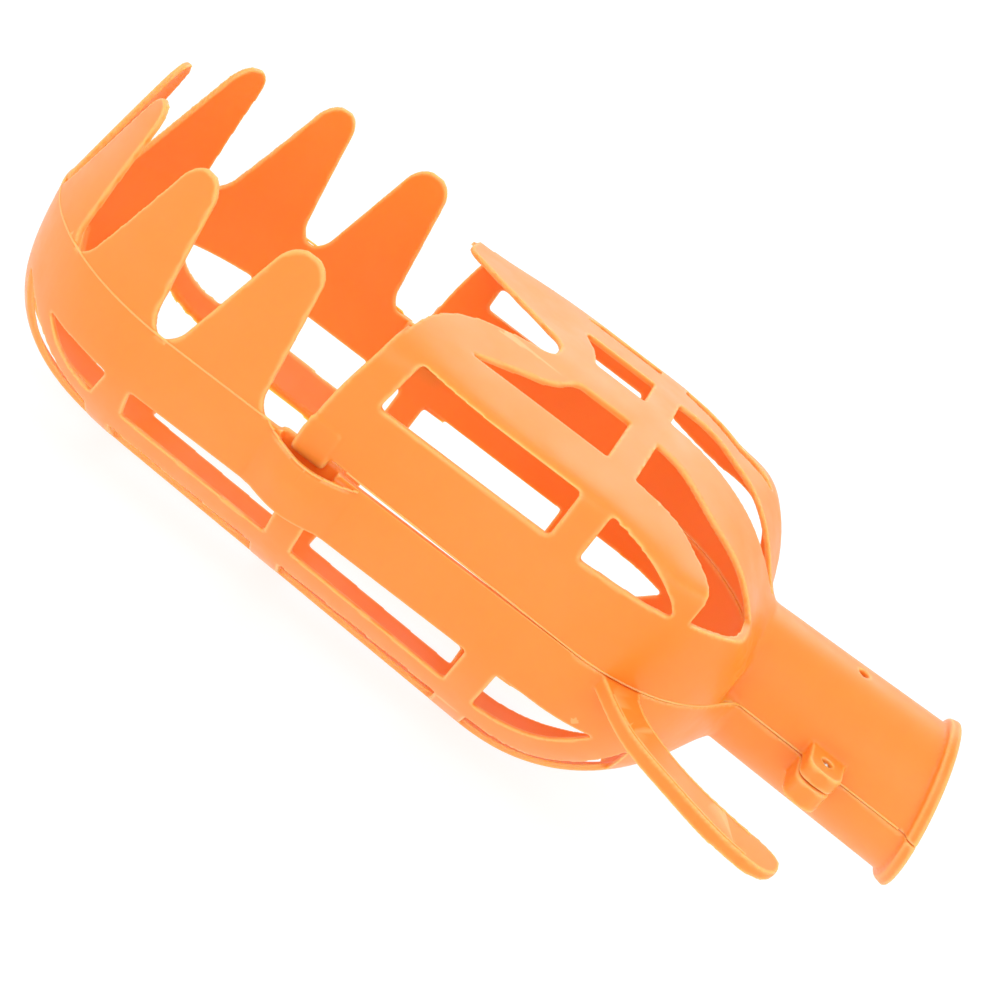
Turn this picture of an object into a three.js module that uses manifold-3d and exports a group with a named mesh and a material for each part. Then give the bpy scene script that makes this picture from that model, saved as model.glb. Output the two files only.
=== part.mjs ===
// A fruit picker's head: a plastic basket with a toothed nose, made of two mouldings, that is
// screwed on to the end of a pole. It is modelled in millimetres.
//
// Frame: the origin is the centre of the socket's mouth, +X runs back out of the mouth along the
// pole, +Z is the side of the cage, and -Y is the side with the branch hook. The two mouldings
// meet on the plane z = 0, which holds the pole's axis.

import * as THREE from 'three';
import { mergeVertices } from 'three/addons/utils/BufferGeometryUtils.js';
import Module from 'manifold-3d';

const wasm = await Module();
wasm.setup();

// ---------------------------------------------------------------- driving dimensions

const WALL = 2;
const FAR_AWAY = 100;
const NEARLY_ALL = 0.98;

// Plan of the hull: straight sides that close in towards the nose and towards the socket
const HALF_WIDTH = 60;
const NOSE_START = -262;
const NOSE_LENGTH = 66;
const SHOULDER_START = -118;
const SHOULDER_LENGTH = 52;

// Belly, below the parting plane
const BELLY_DEPTH = 76.1;
const BELLY_SLOPE = 0.0526;
const BELLY_NOSE_START = -267.5;
const BELLY_NOSE_LENGTH = 62.6;
const BELLY_NOSE_POWER = 3.21;
const BELLY_SHOULDER_START = -129.9;
const BELLY_SHOULDER_LENGTH = 67.7;
const BELLY_SHOULDER_POWER = 1.93;

// Cage, above the parting plane
const ROOF_HEIGHT = 48.24;
const ROOF_FALL = 0.105;
const ROOF_RIDGE = 0.03;
const ROOF_FALL_END = [-112, -90];
const ROOF_SHOULDER_START = -143;
const ROOF_SHOULDER_LENGTH = 70;
const ROOF_SHOULDER_POWER = 2.3;
const CAGE_FRONT = -219;
const CORNER_SPREAD = 0.13;
const CORNER_SHARPNESS = 20;
const HOOP_SHARPNESS = 8;
const HOOP_SPAN = [-212, -165];
const REAR_SHARPNESS = 8;
const REAR_SPAN = [-85, -66];
const PARTING_GAP = 0.3;
const PARTING_RISE = 1.6;
const PARTING_RISE_LENGTH = 88;

// Pole socket
const SOCKET_RADIUS = 24.7;
const SOCKET_TAPER = 0.025;
const SOCKET_FILLET = 11;
const MOUTH_SLANT = Math.tan(THREE.MathUtils.degToRad(13));
const SLANT_START = -45;
const SLANT_LENGTH = 35;
const FLANGE_PROFILE = [[-4.4, 0], [-3.6, 1.8], [-2.7, 2.4], [-0.8, 2.4], [0, 1.6]];
const POLE_SCREW = { x: -41, radius: 1.8 };

// Clamp lugs beside the socket, and the screws through them
const LUG_FRONT = -43.5;
const LUG_REAR = -31.5;
const LUG_REACH = 36;
const LUG_ROOT = 21;
const LUG_CORNER = 4.5;
const UPPER_LUG_TOP = 6;
const LOWER_LUG_TOP = -0.2;
const LOWER_LUG_BOTTOM = -8;
const SCREW_X = -37.5;
const SCREW_Y = 29;
const SCREW_HOLE_RADIUS = 1.8;
const COUNTERBORE_RADIUS = 3.6;
const COUNTERBORE_TOP = -5.2;
const SCREW_PROFILE = [
  [0, -7.6], [2.7, -7.6], [3.1, -7.1], [3.1, -5.6], [1.4, -5.6], [1.4, 4.6], [0.6, 5.6], [0, 5.6],
];
const RECESS = { length: 3.6, width: 0.9, depth: 1.1 };

// Teeth around the nose, as distances along the rim from the nose's centre
const TOOTH_CENTRES = [-114.5, -76.5, -38.5, 0, 38.5, 76.5, 114.5];
const TOOTH_BASE_HALF = 15.2;
const TOOTH_TIP_HALF = 6.4;
const TOOTH_ROOT_FLARE = 2.6;
const TOOTH_ROOT_HEIGHT = 6;
const TOOTH_HEIGHT = 47.6;
const TOOTH_TIP_ROUND = 7;
const TOOTH_REAR_SKEW = 4.6;
const TOOTH_ROOT = -1.5;
const NOSE_RAKE = 11.8;
const SIDE_RAKE = 2;
const RIM_RADIUS = 63;
const TOOTH_HEIGHTS = [TOOTH_ROOT, 0, 2, 6, 40.6, 44, 46.4, TOOTH_HEIGHT];
const TIP_NARROWING = 0.75;

// Hinge notch and pocket on each side of the lower rim, and the cage's tongue in it
const NOTCH = { front: -221.8, rear: -202.5, bottom: -7.6, top: 9 };
const TONGUE = { front: -218.2, rear: -206.5, bottom: -2.6, top: 6, clearance: 0.05 };
const BACK_PLATE = { front: -223, rear: -201, bottom: -9, top: 0.6, inner: 56.3, outer: 57.95 };
const POCKET = { x: -210, half: 17, bulge: 5, top: -2, bottom: -26, wall: 1.8, floor: -14, lip: 0.4 };
const POCKET_HEIGHTS = [-22, -18, -14, -9, POCKET.top];
const POCKET_SHAPE = 1.4;

// Branch hook: an angle section that sweeps back from the near side of the rim
const HOOK_OUTER = [[-110, -57.4], [-95.2, -74.8], [-77.3, -84], [-59.7, -90.6], [-43, -92.8]];
const HOOK_INNER = [[-97.2, -53.6], [-91.4, -64], [-77.3, -73.3], [-61, -78], [-40.5, -80.6]];
const HOOK_WEB = 2.4;
const HOOK_FLANGE = 5;
const HOOK_END = 0.86;
const HOOK_FADE_POWER = 6;

// Windows, as outlines with an optional corner radius. Side windows are drawn in X and Z.
const WINDOW_CORNER = 1.3;
const SIDE_WINDOW_TOP = -22.5;
const CAGE_NEAR_WINDOWS = [
  [[-203.5, 24], [-145, 24.6], [-145, 40], [-201, 40]],
  [[-134.4, 24.2], [-104, 26.2], [-106, 29.6, 4], [-111.5, 33.6, 6], [-121, 37.8, 8], [-134.4, 40]],
];
const CAGE_FAR_WINDOWS = [
  [[-203.5, 20.5], [-145, 20.5], [-145, 29.5], [-203.5, 29.5]],
  [[-134.4, 20.5], [-84, 17], [-88, 23.5, 4], [-98, 27.5, 6], [-110, 26, 6], [-122, 27.5, 6], [-134.4, 30]],
];
const BELLY_FAR_LIFT = 2;
const BELLY_SIDE_WINDOWS = [
  [[-301, -23, 2], [-274.7, SIDE_WINDOW_TOP], [-277.8, -35.4], [-287, -34.2, 6], [-295, -30, 6]],
  [[-265.5, SIDE_WINDOW_TOP], [-211.7, SIDE_WINDOW_TOP], [-211.7, -36], [-265.5, -34]],
  [[-201.5, SIDE_WINDOW_TOP], [-143, SIDE_WINDOW_TOP], [-143, -39.4], [-201.5, -36.4]],
  [[-131.5, SIDE_WINDOW_TOP], [-98, SIDE_WINDOW_TOP, 1.5], [-105, -30.4, 6], [-112, -35.6, 6],
    [-122.4, -39.6, 8], [-131.5, -40.8]],
];

// Roof and belly windows are drawn in X and Y.
const ROOF_REAR_NEAR_WINDOW = [
  [-134.4, -11], [-125.5, -11.5, 6], [-112.2, -18.5, 8], [-98.5, -23.8, 8], [-83.5, -30.4, 6], [-70, -33],
  [-70, -62], [-98.5, -62], [-98.5, -54, 6], [-105.8, -43.5, 8], [-116.8, -37, 8], [-134.4, -37],
];
const ROOF_REAR_FAR_WINDOW = [
  [-134.4, 9], [-134.4, 33], [-119.5, 37, 8], [-106.8, 32, 8], [-90.8, 18, 8], [-83, 13.5, 6],
  [-77, 3], [-84, 5, 4], [-91.5, 3.5, 6], [-102.8, 6.5, 8], [-113, 9, 8],
];
const ROOF_NEAR_WINDOW = [
  [-144.8, -10.4], [-144.8, -35.8], [-193.5, -36, 1.5], [-178.6, -26.4, 8], [-169, -21, 6],
  [-163.6, -10.4, 3],
];
const ROOF_FAR_WINDOW = [
  [-144.8, 10], [-163.2, 10], [-166, 22.5, 6], [-171, 30, 3], [-171, 34], [-144.8, 34],
];
const ROOF_FRONT_EDGE = [
  [-240, 80, 0], [-217.4, 80, 0], [-217.4, 31, 4], [-211, 26.4, 4], [-193, 15.8, 8], [-175, 6.2, 5],
  [-174.4, -6, 5], [-194, -12.8, 10], [-205.5, -22.5, 8], [-210.6, -36, 10], [-211.6, -80, 0],
  [-240, -80, 0],
];
const WALL_FRONT_EDGE = [
  [-240, -10, 0], [-217.8, -10, 0], [-217.6, 8, 6], [-216, 22, 10], [-212, 40, 6], [-211.6, 60, 0],
  [-240, 60, 0],
];
const ROOF_FAR_SLOTS = [
  [[-144.8, 49], [-176, 49, 1.5], [-168, 54.5, 2], [-144.8, 55.5, 1.5]],
  [[-134.4, 48.8], [-116, 46.6, 8], [-104, 44.6, 8], [-92, 41, 2], [-101, 48.6, 8], [-116, 54, 8],
    [-134.4, 55.5, 1.5]],
];
const BELLY_ROWS = [[6.5, 17], [28, 42]];
const BELLY_COLUMNS = [[-269, -214], [-202.6, -142], [-130, -86]];
const BELLY_FRONT_WINDOWS = [
  [[-279, 6.5], [-279, 17], [-330, 17, 0], [-330, 6.5, 0]],
  [[-279, 28], [-279, 42], [-297, 40, 6], [-309, 36.5, 6], [-318, 28]],
];
const BELLY_WINDOW_TOP = -24.5;
const ROOF_WINDOW_BOTTOM = 19;
const ROOF_CORNER_BOTTOM = 27;
const ROOF_SLOT_BOTTOM = 32;
const ROOF_EDGE_BOTTOM = 41.4;
const HOOP_WALLS = { near: -20, far: 46 };

// How finely the curves are cut
const BELLY_STEPS = 22;
const NOSE_STEPS = 8;
const HOOK_STEPS = 11;
const TOOTH_STEPS = 4;
const OUTLINE_STEPS = 3;
const HOLE_STEPS = 12;
const NOSE_TIP_ANGLE = THREE.MathUtils.degToRad(88.5);
const BELLY_MIDDLE_STATIONS = [-240, -190, -150, -130];
const CAGE_MIDDLE_STATIONS = [-210, -200, -190, -178, -165, -150, -135, -126];
const SHOULDER_STATIONS = [-112, -104, -96, -89, -83, -78, -74, -70.5, -67, -63, -57, -45, -10];
const BEYOND_MOUTH = 12;

// ---------------------------------------------------------------- solids

// A manifold solid from vertices and triangles, turned the right way out
function solidFrom(vertices, triangles) {
  let volume = 0;
  for (const [a, b, c] of triangles) {
    volume += vertices[a].dot(vertices[b].clone().cross(vertices[c]));
  }
  const faces = volume < 0 ? triangles.map(([a, b, c]) => [a, c, b]) : triangles;
  return new wasm.Manifold(new wasm.Mesh({
    numProp: 3,
    vertProperties: new Float32Array(vertices.flatMap((vertex) => vertex.toArray())),
    triVerts: new Uint32Array(faces.flat()),
  }));
}

// A solid from one of three.js's own closed geometries
function solidOf(geometry) {
  geometry.deleteAttribute('normal');
  geometry.deleteAttribute('uv');
  const merged = mergeVertices(geometry);
  return new wasm.Manifold(new wasm.Mesh({
    numProp: 3,
    vertProperties: merged.attributes.position.array,
    triVerts: new Uint32Array(merged.index.array),
  }));
}

// A closed skin over rings of points. Each end is filled with strips between the ring's two halves.
function loft(rings) {
  const count = rings[0].length;
  const triangles = [];
  const addQuad = (a, b, c, d) => triangles.push([a, b, c], [a, c, d]);
  for (let ring = 1; ring < rings.length; ring += 1) {
    for (let i = 0; i < count; i += 1) {
      const next = (i + 1) % count;
      addQuad((ring - 1) * count + i, (ring - 1) * count + next, ring * count + next, ring * count + i);
    }
  }
  const last = (rings.length - 1) * count;
  for (let i = 0; i < Math.floor(count / 2) - 1; i += 1) {
    addQuad(i, count - 1 - i, count - 2 - i, i + 1);
    addQuad(last + i, last + i + 1, last + count - 2 - i, last + count - 1 - i);
  }
  if (count % 2 === 1) {
    const middle = (count - 1) / 2;
    triangles.push([middle - 1, middle + 1, middle], [last + middle - 1, last + middle, last + middle + 1]);
  }
  return solidFrom(rings.flat(), triangles);
}

// A closed outline whose corners are rounded by their own radius, or by the windows' radius
function roundedShape(corners) {
  const shape = new THREE.Shape();
  const along = (from, to, distance) => (
    from.clone().lerp(to, Math.min(distance / from.distanceTo(to), 0.5))
  );
  corners.forEach(([x, y, radius = WINDOW_CORNER], i) => {
    const corner = new THREE.Vector2(x, y);
    const start = along(corner, new THREE.Vector2(...corners.at(i - 1)), radius);
    const end = along(corner, new THREE.Vector2(...corners[(i + 1) % corners.length]), radius);
    if (i === 0) {
      shape.moveTo(start.x, start.y);
    } else {
      shape.lineTo(start.x, start.y);
    }
    if (radius > 0) {
      shape.quadraticCurveTo(x, y, end.x, end.y);
    }
  });
  shape.closePath();
  return shape;
}

function extruded(corners, depth) {
  const options = { depth, bevelEnabled: false, curveSegments: OUTLINE_STEPS };
  return new THREE.ExtrudeGeometry(roundedShape(corners), options);
}

// A prism whose outline is drawn in X and Y
function uprightPrism(corners, bottom, top) {
  return solidOf(extruded(corners, top - bottom).translate(0, 0, bottom));
}

// A prism whose outline is drawn in X and Z
function crossPrism(corners, low, high) {
  return solidOf(extruded(corners, high - low).rotateX(Math.PI / 2).translate(0, high, 0));
}

// A flat plate on one side of the pole's axis, between two distances from it
function sidePlate(corners, side, inner, outer) {
  return side > 0 ? crossPrism(corners, inner, outer) : crossPrism(corners, -outer, -inner);
}

function hole(x, y, radius, bottom, top) {
  const cylinder = new THREE.CylinderGeometry(radius, radius, top - bottom, HOLE_STEPS);
  return solidOf(cylinder.rotateX(Math.PI / 2).translate(x, y, (top + bottom) / 2));
}

// The same outline, list of points or corner on the other side of the pole's axis
const mirrored = (corners) => corners.map(([x, y, ...rest]) => [x, -y, ...rest]);

const joined = (solids) => solids.reduce((total, solid) => total.add(solid));

const without = (solid, cutters) => cutters.reduce((rest, cutter) => rest.subtract(cutter), solid);

// ---------------------------------------------------------------- the hull's surfaces

function smoothMax(a, b) {
  const overlap = Math.max(SOCKET_FILLET - Math.abs(a - b), 0) / SOCKET_FILLET;
  return Math.max(a, b) + (overlap * overlap * SOCKET_FILLET) / 4;
}

function smoothStep(value, from, to) {
  return THREE.MathUtils.smoothstep(value, from, to);
}

// 1 where a taper starts, 0 where it ends, along a superellipse
function taper(distance, length, power) {
  const share = THREE.MathUtils.clamp(distance / length, 0, 0.9999);
  return (1 - share ** power) ** (1 / power);
}

function halfWidth(x, inset) {
  const nose = taper(NOSE_START - x, NOSE_LENGTH - inset, 2);
  const shoulder = taper(x - SHOULDER_START, SHOULDER_LENGTH - inset, 2);
  return (HALF_WIDTH - inset) * nose * shoulder;
}

function bellyDepth(x, inset) {
  const nose = taper(BELLY_NOSE_START - x, BELLY_NOSE_LENGTH - inset, BELLY_NOSE_POWER);
  const shoulder = taper(x - BELLY_SHOULDER_START, BELLY_SHOULDER_LENGTH - inset, BELLY_SHOULDER_POWER);
  return (BELLY_DEPTH + BELLY_SLOPE * x - inset) * nose * shoulder;
}

function roofHeight(x, inset) {
  const distance = x - ROOF_SHOULDER_START;
  return (ROOF_HEIGHT - inset) * taper(distance, ROOF_SHOULDER_LENGTH - inset, ROOF_SHOULDER_POWER);
}

// The socket's radius where the hull runs into it. Further forward there is no socket.
function socketRadius(x, inset) {
  return x > SHOULDER_START ? SOCKET_RADIUS + SOCKET_TAPER * x - inset : 0;
}

function blended(hull, socket) {
  return socket > 0 ? smoothMax(hull, socket) : hull;
}

// The mouth's end slants, so points near it are sheared along X
function placed(x, y, z) {
  const share = THREE.MathUtils.clamp((x - SLANT_START) / SLANT_LENGTH, 0, 1);
  return new THREE.Vector3(x - MOUTH_SLANT * share * z, y, z);
}

// One half-elliptical ring of the belly, from the far side round the bottom to the near side
function bellyRing(x, inset, extra, top) {
  const socket = socketRadius(x, inset) + extra;
  const width = halfWidth(x, inset);
  const depth = bellyDepth(x, inset);
  const ring = [];
  for (let step = 0; step <= BELLY_STEPS; step += 1) {
    const turn = (Math.PI * step) / BELLY_STEPS;
    const down = blended(depth, socket) * Math.sin(turn);
    const angle = Math.atan2(down, blended(width, socket) * Math.cos(turn));
    const hull = (width * depth) / Math.hypot(depth * Math.cos(angle), width * Math.sin(angle));
    const radius = blended(hull, socket);
    ring.push(placed(x, radius * Math.cos(angle), -radius * Math.sin(angle)));
  }
  if (top > 0) {
    const side = ring[0].y;
    ring.unshift(placed(x, side, top));
    ring.push(placed(x, -side, top));
  }
  return ring;
}

// How square the cage's corners are: rounder at the hoop, and round where it meets the socket
function cornerSharpness(x) {
  const hoop = 1 - smoothStep(x, ...HOOP_SPAN);
  const rear = smoothStep(x, ...REAR_SPAN);
  const squared = THREE.MathUtils.lerp(CORNER_SHARPNESS, HOOP_SHARPNESS, hoop);
  return THREE.MathUtils.lerp(squared, REAR_SHARPNESS, rear);
}

// The angles of a cage ring's points, closest together at its corner, from the rim to the ridge
function quarterAngles(rim, corner) {
  const spans = [[rim, corner - CORNER_SPREAD, 2], [corner - CORNER_SPREAD, corner + CORNER_SPREAD, 4],
    [corner + CORNER_SPREAD, Math.PI / 2, 4]];
  const angles = spans.flatMap(([from, to, count]) => (
    Array.from({ length: count }, (_, i) => THREE.MathUtils.lerp(from, to, i / count))
  ));
  return [...angles, Math.PI / 2];
}

// One ring of the cage, from the far side over the roof to the near side
function cageRing(x, inset, extra, bottom) {
  const socket = socketRadius(x, inset) + extra;
  const width = halfWidth(x, inset);
  const height = roofHeight(x, inset);
  const sharpness = cornerSharpness(x);
  const fall = ROOF_FALL * (1 - smoothStep(x, ...ROOF_FALL_END));
  const rise = THREE.MathUtils.clamp((SHOULDER_START - x) / PARTING_RISE_LENGTH, 0, 1);
  const rim = Math.atan2(PARTING_GAP + PARTING_RISE * rise, blended(width, socket));
  const corner = Math.atan2(blended(Math.max(height - width * fall, 0), socket), blended(width, socket));
  const quarter = quarterAngles(rim, corner).map((angle) => {
    const wall = width / Math.cos(angle);
    const roof = height / (Math.sin(angle) + fall * Math.hypot(Math.cos(angle), Math.sqrt(ROOF_RIDGE)));
    const hull = (Math.abs(wall) ** -sharpness + roof ** -sharpness) ** (-1 / sharpness);
    const radius = blended(hull, socket);
    return [radius * Math.cos(angle), radius * Math.sin(angle)];
  });
  const near = quarter.slice(0, -1).reverse().map(([y, z]) => [-y, z]);
  const ring = [...quarter, ...near].map(([y, z]) => placed(x, y, z));
  if (bottom < 0) {
    const side = quarter[0][0];
    ring.unshift(placed(x, side, bottom));
    ring.push(placed(x, -side, bottom));
  }
  return ring;
}

// Where the belly's rings stand. They crowd together towards the tip of the nose.
function bellyStations(inset) {
  const stations = [];
  for (let step = 0; step < NOSE_STEPS; step += 1) {
    const angle = (NOSE_TIP_ANGLE * (NOSE_STEPS - step)) / NOSE_STEPS;
    stations.push(NOSE_START - (NOSE_LENGTH - inset) * Math.sin(angle));
  }
  return [...stations, NOSE_START, ...BELLY_MIDDLE_STATIONS, SHOULDER_START, ...SHOULDER_STATIONS];
}

// ---------------------------------------------------------------- lower basket

// A point of the toothed rim: `along` runs round the rim from the nose's centre, and the nose
// rakes back as it rises
function rimPoint(along, z, inset) {
  const side = Math.sign(along) || 1;
  const turn = Math.min(Math.abs(along) / RIM_RADIUS, Math.PI / 2);
  const beyond = Math.max(Math.abs(along) - (RIM_RADIUS * Math.PI) / 2, 0);
  const rise = Math.max(z, 0) / TOOTH_HEIGHT;
  const reach = NOSE_LENGTH - inset - NOSE_RAKE * rise;
  const spread = HALF_WIDTH - inset - SIDE_RAKE * rise;
  return new THREE.Vector3(NOSE_START - reach * Math.cos(turn) + beyond, side * spread * Math.sin(turn), z);
}

// Half of a tooth's width at one height: flared at the root, straight, and rounded at the tip
function toothHalfWidth(z) {
  const straight = THREE.MathUtils.lerp(TOOTH_BASE_HALF, TOOTH_TIP_HALF, Math.max(z, 0) / TOOTH_HEIGHT);
  const flare = TOOTH_ROOT_FLARE * Math.max(1 - Math.max(z, 0) / TOOTH_ROOT_HEIGHT, 0) ** 2;
  const tip = THREE.MathUtils.clamp(1 - (TOOTH_HEIGHT - z) / TOOTH_TIP_ROUND, 0, NEARLY_ALL);
  const rounding = TOOTH_TIP_ROUND * (1 - Math.sqrt(1 - tip ** 2));
  return straight + flare - rounding * TIP_NARROWING;
}

function tooth(centre) {
  const rings = TOOTH_HEIGHTS.map((z) => {
    const rise = Math.max(z, 0) / TOOTH_HEIGHT;
    const skew = (TOOTH_REAR_SKEW * rise * centre) / TOOTH_CENTRES.at(-1);
    const half = toothHalfWidth(z);
    const places = Array.from({ length: TOOTH_STEPS + 1 }, (_, i) => (
      centre + skew + half * ((2 * i) / TOOTH_STEPS - 1)
    ));
    const outer = places.map((along) => rimPoint(along, z, 0));
    const inner = places.map((along) => rimPoint(along, z, WALL)).reverse();
    return [...outer, ...inner];
  });
  return loft(rings);
}

// The bulge outside the rim that takes the cage's tongue
function pocket(side) {
  const steps = [-1, -0.75, -0.4, 0, 0.4, 0.75, 1];
  const bulgeRing = (z, wall, root) => {
    const depth = smoothStep(z, POCKET.bottom, POCKET.bottom / 3);
    const outer = steps.map((step) => {
      const swell = Math.cos((step * Math.PI) / 2) ** POCKET_SHAPE;
      const y = root + POCKET.lip + (HALF_WIDTH - root + POCKET.bulge * depth - wall) * swell;
      return new THREE.Vector3(POCKET.x + step * (POCKET.half - wall), side * y, z);
    });
    const inner = steps.map((step) => (
      new THREE.Vector3(POCKET.x + step * (POCKET.half - wall), side * root, z)
    )).reverse();
    return [...outer, ...inner];
  };
  const solid = loft(POCKET_HEIGHTS.map((z) => bulgeRing(z, 0, bellyWallAt(z))));
  const slotHeights = [POCKET.floor, POCKET.top + 1];
  const slot = loft(slotHeights.map((z) => bulgeRing(z, POCKET.wall, HALF_WIDTH - WALL - 1)));
  return solid.subtract(slot);
}

// How far out the middle of the belly's wall is at a height, beside the pocket
function bellyWallAt(z) {
  const depth = bellyDepth(POCKET.x, 0);
  return HALF_WIDTH * Math.sqrt(1 - (z / depth) ** 2) - WALL / 2;
}

function hook() {
  const curveOf = (points) => new THREE.SplineCurve(points.map(([x, y]) => new THREE.Vector2(x, y)));
  const outerCurve = curveOf(HOOK_OUTER);
  const innerCurve = curveOf(HOOK_INNER);
  const rings = Array.from({ length: HOOK_STEPS + 1 }, (_, step) => {
    const share = step / HOOK_STEPS;
    const outer = outerCurve.getPoint(share);
    const inner = innerCurve.getPoint(share);
    const end = Math.max((share - HOOK_END) / (1 - HOOK_END), 0) * NEARLY_ALL;
    const narrowing = (1 - Math.sqrt(1 - end ** 2)) / 2;
    const low = outer.clone().lerp(inner, narrowing);
    const high = inner.clone().lerp(outer, narrowing);
    const flange = low.clone().lerp(high, Math.min(WALL / low.distanceTo(high), 0.5));
    const drop = HOOK_WEB + (HOOK_FLANGE - HOOK_WEB) * Math.sqrt(1 - NEARLY_ALL * share ** HOOK_FADE_POWER);
    return [
      [high, 0], [low, 0], [low, -drop], [flange, -drop], [flange, -HOOK_WEB], [high, -HOOK_WEB],
    ].map(([point, z]) => new THREE.Vector3(point.x, point.y, z));
  });
  return loft(rings);
}

function lug(side, bottom, top) {
  const outline = [
    [LUG_FRONT, LUG_ROOT, 0], [LUG_REAR, LUG_ROOT, 0],
    [LUG_REAR, LUG_REACH, LUG_CORNER], [LUG_FRONT, LUG_REACH, LUG_CORNER],
  ];
  return uprightPrism(side > 0 ? outline : mirrored(outline), bottom, top);
}

function bellyWindows() {
  const near = BELLY_SIDE_WINDOWS.map((outline) => crossPrism(outline, -FAR_AWAY, 0));
  const far = BELLY_SIDE_WINDOWS.map((outline) => (
    crossPrism(outline, 0, FAR_AWAY).translate([0, 0, BELLY_FAR_LIFT])
  ));
  const middle = BELLY_COLUMNS.flatMap(([front, rear]) => (
    BELLY_ROWS.map(([inner, outer]) => [[front, inner], [rear, inner], [rear, outer], [front, outer]])
  ));
  const bottom = [...middle, ...BELLY_FRONT_WINDOWS].flatMap((outline) => [
    uprightPrism(outline, -FAR_AWAY, BELLY_WINDOW_TOP),
    uprightPrism(mirrored(outline), -FAR_AWAY, BELLY_WINDOW_TOP),
  ]);
  return [...near, ...far, ...bottom];
}

function hingeNotch() {
  const { front, rear, bottom, top } = NOTCH;
  const outline = [[front, bottom], [rear, bottom], [rear, top, 0], [front, top, 0]];
  return crossPrism(outline, -HALF_WIDTH - 1, HALF_WIDTH + 1);
}

// A plate inside the wall that closes the notch behind the tongue
function backPlate(side) {
  const { front, rear, bottom, top, inner, outer } = BACK_PLATE;
  return sidePlate([[front, bottom], [rear, bottom], [rear, top], [front, top]], side, inner, outer);
}

function lowerBasket() {
  const outerRings = bellyStations(0).map((x) => bellyRing(x, 0, 0, 0));
  const flangeRings = FLANGE_PROFILE.map(([x, extra]) => bellyRing(x, 0, extra, 0));
  const innerRings = [...bellyStations(WALL), BEYOND_MOUTH].map((x) => bellyRing(x, WALL, 0, 1));
  const lugs = [-1, 1].map((side) => lug(side, LOWER_LUG_BOTTOM, LOWER_LUG_TOP));
  const outside = joined([loft([...outerRings, ...flangeRings]), hook(), ...lugs]);
  const shell = without(outside, [loft(innerRings), ...bellyWindows(), hingeNotch()]);
  const screwHoles = [-1, 1].flatMap((side) => [
    hole(SCREW_X, side * SCREW_Y, SCREW_HOLE_RADIUS, LOWER_LUG_BOTTOM - 1, 1),
    hole(SCREW_X, side * SCREW_Y, COUNTERBORE_RADIUS, LOWER_LUG_BOTTOM - 1, COUNTERBORE_TOP),
  ]);
  const hingeParts = [-1, 1].flatMap((side) => [pocket(side), backPlate(side)]);
  return without(joined([shell, ...TOOTH_CENTRES.map(tooth), ...hingeParts]), screwHoles);
}

// ---------------------------------------------------------------- upper cage

function cageWindows() {
  const near = CAGE_NEAR_WINDOWS.map((outline) => crossPrism(outline, -FAR_AWAY, 0));
  const far = CAGE_FAR_WINDOWS.map((outline) => crossPrism(outline, 0, FAR_AWAY));
  const roof = [ROOF_NEAR_WINDOW, ROOF_FAR_WINDOW, ROOF_REAR_FAR_WINDOW].map((outline) => (
    uprightPrism(outline, ROOF_WINDOW_BOTTOM, FAR_AWAY)
  ));
  const corner = uprightPrism(ROOF_REAR_NEAR_WINDOW, ROOF_CORNER_BOTTOM, FAR_AWAY);
  const slots = ROOF_FAR_SLOTS.map((outline) => uprightPrism(outline, ROOF_SLOT_BOTTOM, FAR_AWAY));
  return [...near, ...far, ...roof, corner, ...slots];
}

// The hoop's front: its walls lean back as they rise, and the roof opens in a V between two lobes
function hoopFront() {
  return [
    uprightPrism(ROOF_FRONT_EDGE, ROOF_EDGE_BOTTOM, FAR_AWAY),
    crossPrism(WALL_FRONT_EDGE, -FAR_AWAY, HOOP_WALLS.near),
    crossPrism(WALL_FRONT_EDGE, HOOP_WALLS.far, FAR_AWAY),
  ];
}

function tongue(side) {
  const { front, rear, bottom, top, clearance } = TONGUE;
  const outline = [[front, bottom], [rear, bottom], [rear, top, 0], [front, top, 0]];
  return sidePlate(outline, side, HALF_WIDTH - WALL + clearance, HALF_WIDTH - clearance);
}

function upperCage() {
  const stations = [...CAGE_MIDDLE_STATIONS, SHOULDER_START, ...SHOULDER_STATIONS];
  const outerRings = [CAGE_FRONT, ...stations].map((x) => cageRing(x, 0, 0, 0));
  const flangeRings = FLANGE_PROFILE.map(([x, extra]) => cageRing(x, 0, extra, 0));
  const innerRings = [CAGE_FRONT - 1, ...stations, BEYOND_MOUTH].map((x) => cageRing(x, WALL, 0, -1));
  const lugs = [-1, 1].map((side) => lug(side, PARTING_GAP, UPPER_LUG_TOP));
  const outside = joined([loft([...outerRings, ...flangeRings]), ...lugs]);
  const shell = without(outside, [loft(innerRings), ...cageWindows(), ...hoopFront()]);
  const screwHoles = [-1, 1].map((side) => (
    hole(SCREW_X, side * SCREW_Y, SCREW_HOLE_RADIUS, -1, UPPER_LUG_TOP + 1)
  ));
  const poleHole = hole(POLE_SCREW.x, 0, POLE_SCREW.radius, 0, FAR_AWAY);
  return without(joined([shell, tongue(-1), tongue(1)]), [...screwHoles, poleHole]);
}

// ---------------------------------------------------------------- clamp screws

// A self-tapping screw, head down, with a cross recess
function clampScrew(side) {
  const profile = SCREW_PROFILE.map(([radius, z]) => new THREE.Vector2(radius, z));
  const body = solidOf(new THREE.LatheGeometry(profile, HOLE_STEPS).rotateX(Math.PI / 2));
  const bottom = SCREW_PROFILE[0][1];
  const { length, width, depth } = RECESS;
  const slots = [[length, width], [width, length]].map(([x, y]) => (
    solidOf(new THREE.BoxGeometry(x, y, depth * 2).translate(0, 0, bottom))
  ));
  return without(body, slots).translate([SCREW_X, side * SCREW_Y, 0]);
}

// ---------------------------------------------------------------- assembly

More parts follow.
